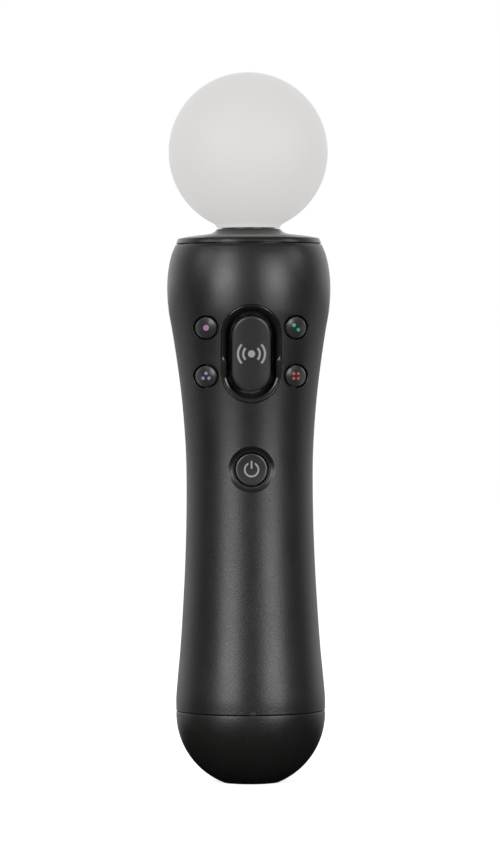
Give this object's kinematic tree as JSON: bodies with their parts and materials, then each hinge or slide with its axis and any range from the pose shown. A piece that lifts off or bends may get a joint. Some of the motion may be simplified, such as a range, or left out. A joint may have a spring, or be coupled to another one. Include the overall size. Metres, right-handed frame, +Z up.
{
  "type": "motion controller",
  "caption": "Hand-held motion controller wand with a soft glowing ball on top, thumb and action buttons on the front, a rear trigger and charging ports in its foot.",
  "frame": {"origin": "centre of the flat foot at the bottom of the end cap", "axes": "+Z up the handle's axis to the ball, -Y out of the front face with the buttons, +X to the right seen from the front"},
  "size_m": [0.046, 0.053, 0.2],
  "materials": {
    "shell_plastic": "satin",
    "gloss_black": "gloss",
    "key_plastic": "satin",
    "ball_skin": "matte",
    "frame_plastic": "matte",
    "board_green": "satin",
    "silicone_grey": "matte",
    "steel": "satin",
    "contact_gold": "polished",
    "cell_wrap": "satin",
    "clear_plastic": "gloss",
    "flex_amber": "satin"
  },
  "bodies": {
    "housing": {"light_ball": "ball_skin", "top_cap": "gloss_black", "center_bezel": "gloss_black", "ext_connector": "gloss_black", "usb_tongue": "gloss_black", "front_shell": "shell_plastic", "rear_shell": "shell_plastic", "end_cap": "shell_plastic", "status_window": "clear_plastic", "led_emitter": "clear_plastic", "light_guide": "clear_plastic", "trigger_pin": "steel", "radio_shield": "steel", "select_switch": "steel", "start_switch": "steel", "reset_switch": "steel", "motor_can": "steel", "usb_socket": "steel", "strap_bar": "steel", "shell_screw_1": "steel", "shell_screw_2": "steel", "shell_screw_3": "steel", "shell_screw_4": "steel", "board_screw_1": "steel", "board_screw_2": "steel", "trigger_bracket": "frame_plastic", "inner_frame": "frame_plastic", "battery_plug": "frame_plastic", "trigger_pad": "silicone_grey", "button_mat": "silicone_grey", "battery_lead": "silicone_grey", "motor_sleeve": "silicone_grey", "motor_lead": "silicone_grey", "main_board": "board_green", "led_board": "board_green", "port_board": "board_green", "battery": "cell_wrap", "led_flex": "flex_amber", "port_flex": "flex_amber", "charge_contact_left": "contact_gold", "charge_contact_right": "contact_gold"},
    "thumb_button": {"center_button": "key_plastic"},
    "top_left": {"top_left_button": "key_plastic"},
    "top_right": {"top_right_button": "key_plastic"},
    "bottom_left": {"bottom_left_button": "key_plastic"},
    "bottom_right": {"bottom_right_button": "key_plastic"},
    "home": {"home_button": "key_plastic"},
    "select": {"select_button": "key_plastic"},
    "start": {"start_button": "key_plastic"},
    "reset": {"reset_button": "key_plastic"},
    "trigger_lever": {"trigger": "gloss_black", "trigger_spring": "steel"},
    "motor_rotor": {"motor_shaft": "steel", "motor_weight": "steel"}
  },
  "joints": [
    {"name": "thumb_press", "type": "slide", "parent": "housing", "child": "thumb_button", "axis": [0, 1, 0], "range_m": [0, 0.001], "stiffness_N_per_m": 900},
    {"name": "top_left_press", "type": "slide", "parent": "housing", "child": "top_left", "axis": [0, 1, 0], "range_m": [0, 0.0008], "stiffness_N_per_m": 900},
    {"name": "top_right_press", "type": "slide", "parent": "housing", "child": "top_right", "axis": [0, 1, 0], "range_m": [0, 0.0008], "stiffness_N_per_m": 900},
    {"name": "bottom_left_press", "type": "slide", "parent": "housing", "child": "bottom_left", "axis": [0, 1, 0], "range_m": [0, 0.0008], "stiffness_N_per_m": 900},
    {"name": "bottom_right_press", "type": "slide", "parent": "housing", "child": "bottom_right", "axis": [0, 1, 0], "range_m": [0, 0.0008], "stiffness_N_per_m": 900},
    {"name": "home_press", "type": "slide", "parent": "housing", "child": "home", "axis": [0, 1, 0], "range_m": [0, 0.0006], "stiffness_N_per_m": 900},
    {"name": "select_press", "type": "slide", "parent": "housing", "child": "select", "axis": [1, 0, 0], "range_m": [0, 0.0005], "stiffness_N_per_m": 1200},
    {"name": "start_press", "type": "slide", "parent": "housing", "child": "start", "axis": [-1, 0, 0], "range_m": [0, 0.0005], "stiffness_N_per_m": 1200},
    {"name": "reset_press", "type": "slide", "parent": "housing", "child": "reset", "axis": [0, -1, 0], "range_m": [0, 0.0005], "stiffness_N_per_m": 1200},
    {"name": "trigger_squeeze", "type": "hinge", "parent": "housing", "child": "trigger_lever", "pos_m": [0, 0.0182, 0.1345], "axis": [-1, 0, 0], "range_deg": [0, 12], "stiffness_Nm_per_rad": 0.2},
    {"name": "motor_spin", "type": "hinge", "parent": "housing", "child": "motor_rotor", "pos_m": [0, 0.005, 0.048], "axis": [0, 0, 1], "continuous": true}
  ]
}
